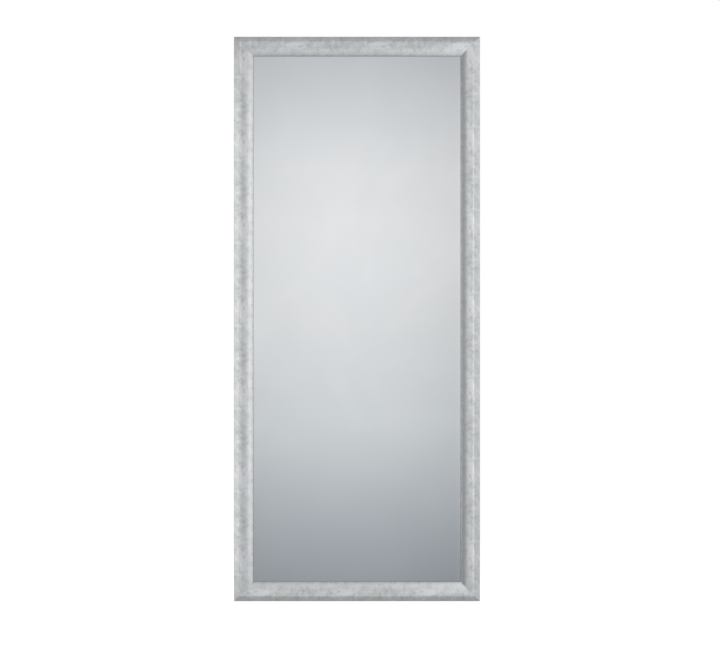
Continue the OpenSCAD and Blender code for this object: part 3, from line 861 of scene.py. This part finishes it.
def ringTree():
    # a wire bent to a D: straight bar, two tight bends, short arms and a round crown
    tree, given = newTree("wire ring", Width="Float", Arm="Float", Bend="Float", Wire="Float",
                          Tilt="Float", Off="Float", Turn="Float", Place="Vector")
    crown = add(tree, "ShaderNodeMath", [given["Width"], 0.5], operation="MULTIPLY")
    height = add(tree, "ShaderNodeMath", [given["Arm"], given["Bend"]], operation="ADD")
    height = add(tree, "ShaderNodeMath", [height, crown], operation="ADD")
    sketch = add(tree, "GeometryNodeCurvePrimitiveQuadrilateral", [given["Width"], height],
                 mode="RECTANGLE")
    place = add(tree, "GeometryNodeInputPosition")
    _, up, _ = add(tree, "ShaderNodeSeparateXYZ", [place]).outputs
    shyOfHalf = 0.9999  # so that the crown's two bends don't quite meet
    radius = add(tree, "GeometryNodeSwitch", {
        "Switch": add(tree, "FunctionNodeCompare", [up, 0]),
        "False": add(tree, "ShaderNodeMath", [crown, shyOfHalf], operation="MULTIPLY"),
        "True": given["Bend"]
    }, input_type="FLOAT")
    wire = add(tree, "GeometryNodeFilletCurve", {
        "Curve": sketch, "Count": hanger["bendSteps"], "Radius": radius
    }, mode="POLY")
    down = add(tree, "ShaderNodeMath", [height, -0.5], operation="MULTIPLY")
    standing = add(tree, "GeometryNodeTransform", {
        "Geometry": wire, "Rotation": (math.radians(90), 0, 0),
        "Translation": add(tree, "ShaderNodeCombineXYZ", {"Z": down})
    })
    circle = add(tree, "GeometryNodeCurvePrimitiveCircle", {
        "Resolution": hanger["wireSides"],
        "Radius": add(tree, "ShaderNodeMath", [given["Wire"], 0.5], operation="MULTIPLY")
    })
    ring = add(tree, "GeometryNodeCurveToMesh", {"Curve": standing, "Profile Curve": circle})
    hung = add(tree, "GeometryNodeTransform", {
        "Geometry": ring,
        "Rotation": add(tree, "ShaderNodeCombineXYZ", {"X": given["Tilt"]}),
        "Translation": add(tree, "ShaderNodeCombineXYZ", {"Y": given["Off"]})
    })
    return closeTree(tree, placed(tree, hung, given), given)


# A pan-head screw, in mm: its shank grows from the point to full, and its head has a soft rim
# and a dome. The smaller domePower is, the flatter the dome.
screw = {
    "head": 7, "headHeight": 2.2, "rim": 0.7, "softRim": 0.15, "domePower": 0.6,
    "shank": 3.5, "length": 15, "point": 0.45, "pointHeight": 0.4,
    "taperAt": 4, "taperShare": 0.9, "fullAt": 6, "recess": (4.4, 2.6, 1.0), "steps": 32,
}


def screwMesh():
    s = screw
    seat = 2 * hanger["sheet"] + hanger["foldGap"]
    tip = seat - s["length"]
    shank, radius = s["shank"] / 2, s["head"] / 2
    dome = s["headHeight"] - s["rim"]
    outline = [
        (0, tip), (s["point"], tip + s["pointHeight"]),
        (shank * s["taperShare"], tip + s["taperAt"]), (shank, tip + s["fullAt"]), (shank, seat),
        (radius - s["softRim"], seat), (radius, seat + s["softRim"])
    ]
    for a in range(0, 90, 10):
        outline.append((radius * math.cos(math.radians(a)) ** s["domePower"],
                        seat + s["rim"] + dome * math.sin(math.radians(a))))
    outline.append((0, seat + s["headHeight"]))
    return lathe("pan head screw", outline, s["steps"])


def screwTree():
    # cuts the cross recess in the head and repeats the screw along the strap
    tree, given = newTree("pan head screws", Count="Int", First="Float", Pitch="Float",
                          Top="Float", Recess="Vector", Turn="Float", Place="Vector")
    arm = add(tree, "GeometryNodeMeshCube", {"Size": given["Recess"]})
    head = add(tree, "ShaderNodeCombineXYZ", {"Y": given["Top"]})
    cut = given["Geometry"]
    for angle in (0, 90):
        blade = add(tree, "GeometryNodeTransform", {
            "Geometry": arm, "Translation": head, "Rotation": (0, math.radians(angle), 0)
        })
        cut = add(tree, "GeometryNodeMeshBoolean", {"Mesh 1": cut, "Mesh 2": blade},
                  operation="DIFFERENCE", solver="EXACT")
    first, pitch = [
        add(tree, "ShaderNodeMath", [given[key], -1], operation="MULTIPLY")
        for key in ("First", "Pitch")
    ]
    line = add(tree, "GeometryNodeMeshLine", {
        "Count": given["Count"],
        "Start Location": add(tree, "ShaderNodeCombineXYZ", {"Z": first}),
        "Offset": add(tree, "ShaderNodeCombineXYZ", {"Z": pitch})
    })
    row = add(tree, "GeometryNodeInstanceOnPoints", {"Points": line, "Instance": cut})
    return closeTree(tree, placed(tree, row, given), given)


def makeHangers():
    straps, rings, screws = strapTree(), ringTree(), screwTree()
    h = hanger
    for side, spot in hangerPlaces.items():
        there = {
            "Turn": math.radians(spot["turn"]),
            "Place": (spot["across"] * mm, -wholeFrame["wallGap"] * mm, spot["up"] * mm),
        }
        strap = grow(
            side + "_hanger_strap", straps, strapPath(), Material=zincPlate,
            Width=h["strapWidth"] * mm, Sheet=h["sheet"] * mm, Edge=h["edge"] * mm,
            Length=h["strapLength"] * mm, **there
        )
        stand(strap, "framed_mirror", "zinc_plate", "hanger_strap_" + side)
        ring = grow(
            side + "_hanger_ring", rings, None, Material=zincWire, Width=h["ringWidth"] * mm,
            Arm=h["ringArm"] * mm, Bend=h["ringBend"] * mm, Wire=h["wire"] * mm,
            Tilt=math.radians(h["ringRest"]), Off=h["loop"] * mm, **there
        )
        stand(ring, side + "_ring", "zinc_wire", "hanger_ring_" + side)
        top = 2 * h["sheet"] + h["foldGap"] + screw["headHeight"]
        pair = grow(
            side + "_hanger_screws", screws, screwMesh(), Material=zincPlate,
            Count=h["screws"], First=h["screwFirst"] * mm, Pitch=h["screwPitch"] * mm,
            Top=top * mm, Recess=[size * mm for size in screw["recess"]], **there
        )
        stand(pair, "framed_mirror", "zinc_plate", "hanger_screws_" + side)
    print("four hangers made")


makeHangers()

# Soft bumpers on the back, in mm: their outline, with a shallow dish in the face that meets the
# wall, and how far apart they stand.
bumper = {
    "radius": 9, "height": 7, "round": 1, "footRound": 0.2, "taper": 0.15,
    "dishRim": 2.4, "dishFloor": 3.2, "dishDepth": 0.35, "dishMiddle": 0.5, "steps": 48,
    "acrossFrame": 640, "upFrame": 1425,
}


def bumperMesh():
    b = bumper
    foot = -wholeFrame["wallGap"]
    outline = [(0, foot), (b["radius"] - b["footRound"], foot),
               (b["radius"], foot + b["footRound"])]
    for a in range(0, 91, 15):
        outline.append((
            b["radius"] - b["round"] * (1 - math.cos(math.radians(a))) - b["taper"],
            foot + b["height"] - b["round"] * (1 - math.sin(math.radians(a)))
        ))
    outline += [(b["radius"] - b["dishRim"], 0), (b["radius"] - b["dishFloor"], -b["dishDepth"]),
                (0, -b["dishMiddle"])]
    return lathe("wall bumper", outline, b["steps"])


def bumperTree():
    # sets the bumper at the four corners of an upright rectangle
    tree, given = newTree("wall bumpers", Across="Float", Up="Float", Turn="Float",
                          Place="Vector")
    grid = add(tree, "GeometryNodeMeshGrid", {
        "Size X": given["Across"], "Size Y": given["Up"], "Vertices X": 2, "Vertices Y": 2
    })
    upright = add(tree, "GeometryNodeTransform", {
        "Geometry": grid, "Rotation": (math.radians(90), 0, 0)
    })
    four = add(tree, "GeometryNodeInstanceOnPoints", {
        "Points": upright, "Instance": given["Geometry"]
    })
    return closeTree(tree, placed(tree, four, given), given)


def makeBumpers():
    piece = grow(
        "wall_bumpers", bumperTree(), bumperMesh(), Material=rubberMaterial(),
        Across=bumper["acrossFrame"] * mm, Up=bumper["upFrame"] * mm, Turn=0.0,
        Place=(0, 0, wholeFrame["midHeight"] * mm)
    )
    stand(piece, "framed_mirror", "soft_rubber", "bumper_top_left", "bumper_top_right",
          "bumper_bottom_left", "bumper_bottom_right")
    print("bumpers stuck on")


makeBumpers()

# The floor, in mm, and the glow with which the camera alone sees it.
studio = {"floor": -2000, "floorSize": 9000, "floorWhite": "#f2f2f0", "floorGlow": 0.56}


def makeFloor():
    mesh = bpy.data.meshes.new("studio floor")
    half = studio["floorSize"] / 2 * mm
    level = studio["floor"] * mm
    corners = [(-half, -half, level), (half, -half, level), (half, half, level),
               (-half, half, level)]
    mesh.from_pydata(corners, [], [(0, 1, 2, 3)])
    floor = bpy.data.objects.new("studio_floor", mesh)
    scene.collection.objects.link(floor)
    material, tree, shader = newMaterial("pale studio floor", {
        "Roughness": 0.9, "Base Color": studio["floorWhite"]
    })
    seen = add(tree, "ShaderNodeLightPath").outputs["Is Camera Ray"]
    glow = add(tree, "ShaderNodeEmission", {
        "Color": "#ffffff",
        "Strength": add(tree, "ShaderNodeMath", [seen, studio["floorGlow"]], operation="MULTIPLY")
    })
    both = add(tree, "ShaderNodeAddShader", [shader, glow])
    fill(tree.nodes["Material Output"], {"Surface": both})
    mesh.materials.append(material)
    floor.visible_glossy = False


makeFloor()

# The room in front of the mirror: its brightness across, from left to right, and upwards, each
# as a place from -1 to 1 and a colour. The mirror shows the middle of it, the moulding the rest.
room = {
    "across": (
        (-0.74, "#7f8183"), (-0.62, "#808182"), (-0.48, "#ecedee"), (-0.34, "#fdffff"),
        (-0.22, "#fdffff"), (-0.11, "#f3f5f6"), (0, "#dadbdc"), (0.11, "#c8c9ca"),
        (0.22, "#cccdce"), (0.34, "#dadbdc"), (0.48, "#cdcecf"), (0.62, "#d2d3d4"),
        (0.74, "#f4f5f7"), (0.86, "#eaecec"), (1, "#e6e8e9"),
    ),
    "up": (
        (-1, "#9d9e9e"), (-0.86, "#a3a4a4"), (-0.74, "#cbcccd"), (-0.6, "#f6f7f9"),
        (-0.44, "#fdffff"), (-0.3, "#fbfeff"), (-0.225, "#979ba0"), (-0.17, "#b1b4ba"),
        (-0.085, "#d9dbde"), (0, "#e9e8ea"), (0.043, "#efeef0"), (0.085, "#f1eff1"),
        (0.128, "#ecebed"), (0.17, "#dfdfe2"), (0.225, "#c9c9cd"), (0.3, "#b9babc"),
        (0.44, "#f4f6f8"), (0.6, "#fdffff"), (0.74, "#e8e9eb"), (0.86, "#adadb0"),
        (1, "#a3a3a6"),
    ),
    # how much of its brightness a side keeps low down, and from where to where it fades
    "lowSide": 0.62, "lowFade": (-0.3, 0),
    # the middle dims to both sides of its own line, and the sides begin at the seam, which leans
    # outwards above and below
    "middleLine": -0.015, "middleReach": 0.3, "middleSide": 0.46,
    "seam": (0.05, 0.16), "seamLean": 0.5,
    # the wall behind the frame is a plain grey, which begins at the turn
    "behind": 0.6, "turn": (-0.1, 0.1),
}


def roomRamp(tree, way, stops):
    place = add(tree, "ShaderNodeMath", [way, 0.5, 0.5], operation="MULTIPLY_ADD")
    ramp = add(tree, "ShaderNodeValToRGB", [place])
    for i, (at, hexColour) in enumerate(stops):
        spots = ramp.color_ramp.elements
        stop = spots[i] if i < 2 else spots.new(at / 2 + 0.5)  # a ramp starts out with two
        stop.position = at / 2 + 0.5
        stop.color = linear(hexColour)
    return ramp


def makeWorld():
    world = bpy.data.worlds.new("studio")
    world.use_nodes = True
    scene.world = world
    tree = world.node_tree
    way = add(tree, "ShaderNodeTexCoord").outputs["Generated"]
    x, y, z = add(tree, "ShaderNodeSeparateXYZ", [way]).outputs
    lowDown = add(tree, "ShaderNodeMapRange", [z, *room["lowFade"], room["lowSide"], 1], **softly)
    sides = add(tree, "ShaderNodeVectorMath", [roomRamp(tree, x, room["across"]), lowDown],
                operation="SCALE")
    aside = add(tree, "ShaderNodeMath", [x, room["middleLine"]], operation="SUBTRACT")
    aside = add(tree, "ShaderNodeMath", [aside], operation="ABSOLUTE")
    fade = add(tree, "ShaderNodeMapRange", [aside, 0, room["middleReach"], 1, room["middleSide"]],
               **softly)
    middle = add(tree, "ShaderNodeVectorMath", [roomRamp(tree, z, room["up"]), fade],
                 operation="SCALE")
    width = add(tree, "ShaderNodeMath", [x], operation="ABSOLUTE")
    height = add(tree, "ShaderNodeMath", [z], operation="ABSOLUTE")
    past = add(tree, "ShaderNodeMath", [height, -room["seamLean"], width],
               operation="MULTIPLY_ADD")
    ahead = lay(tree, past, room["seam"], middle, sides)
    colour = lay(tree, y, room["turn"], ahead, [room["behind"]] * 3 + [1])
    seen = add(tree, "ShaderNodeLightPath").outputs["Is Camera Ray"]
    colour = add(tree, "ShaderNodeMix", [seen, colour, "#ffffff"], **inColour)
    fill(tree.nodes["Background"], {"Color": colour})


makeWorld()

# Soft boxes, out of the camera's sight: place, aim and size in mm, and power in watts.
softBoxes = {
    "left": {"place": (-950, -550, -600), "aim": (-330, 0, -600), "size": (420, 2300),
             "power": 3.6},
    "right": {"place": (600, -1000, -600), "aim": (0, 0, -600), "size": (560, 2300),
              "power": 3},
    "behind": {"place": (600, 2600, 600), "aim": (0, 0, -550), "size": (1800, 1800), "power": 30},
}
# How far each soft box stays bright from its middle, across and along, where its edge is 0.5.
brightCore = (0.1, 0.35)


def softenEdges(lamp):
    tree = lamp.node_tree
    spot = add(tree, "ShaderNodeNewGeometry").outputs["Parametric"]
    level = 1.0
    for way, core in zip(add(tree, "ShaderNodeSeparateXYZ", [spot]).outputs, brightCore):
        aside = add(tree, "ShaderNodeMath", [way, 0.5], operation="SUBTRACT")
        aside = add(tree, "ShaderNodeMath", [aside], operation="ABSOLUTE")
        fade = add(tree, "ShaderNodeMapRange", [aside, core, 0.5, 1, 0], **softly)
        level = add(tree, "ShaderNodeMath", [fade, level], operation="MULTIPLY")
    fill(tree.nodes["Emission"], {"Strength": level})


def makeLamps():
    for name, box in softBoxes.items():
        lamp = bpy.data.lights.new(name, "AREA")
        lamp.shape = "RECTANGLE"
        lamp.size, lamp.size_y = (side * mm for side in box["size"])
        lamp.energy = box["power"]
        lamp.use_nodes = True
        softenEdges(lamp)
        holder = bpy.data.objects.new(name, lamp)
        holder.location = Vector(box["place"]) * mm
        toAim = Vector(box["aim"]) * mm - holder.location
        holder.rotation_euler = toAim.to_track_quat("-Z", "Y").to_euler()
        holder.visible_camera = False
        scene.collection.objects.link(holder)


makeLamps()
scene.view_settings.view_transform = "Standard"
print("studio set up")
